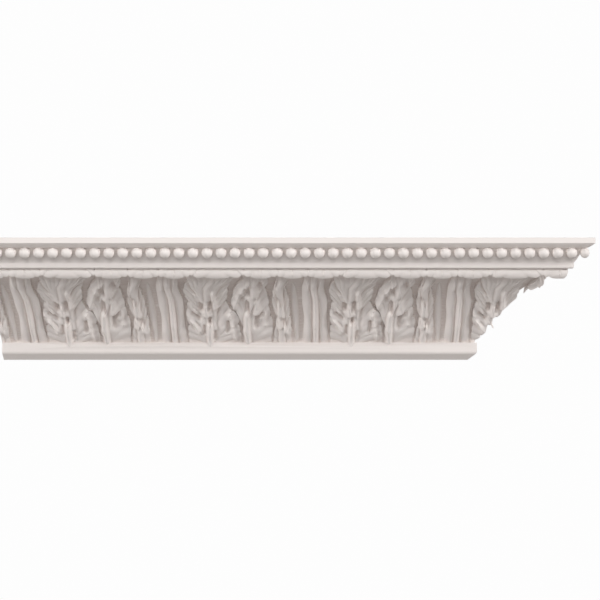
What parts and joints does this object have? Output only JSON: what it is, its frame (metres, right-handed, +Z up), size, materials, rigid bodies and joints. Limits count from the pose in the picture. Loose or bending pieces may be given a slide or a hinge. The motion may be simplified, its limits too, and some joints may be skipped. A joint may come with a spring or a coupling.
{
  "type": "acanthus crown moulding with a pearl row",
  "caption": "Crown moulding with a row of pearls over acanthus leaves whose tips roll forward, sawn square at one end and mitred at the other.",
  "frame": {"origin": "middle of the flat face that is glued to the wall", "axes": "+X along the wall towards the mitred end, +Y into the wall, +Z up to the ceiling"},
  "size_m": [0.726, 0.14, 0.15],
  "materials": {
    "primed_white": "matte factory primer on moulded foam"
  },
  "bodies": {
    "root": {"acanthus_crown_moulding": "primed_white"}
  },
  "joints": []
}
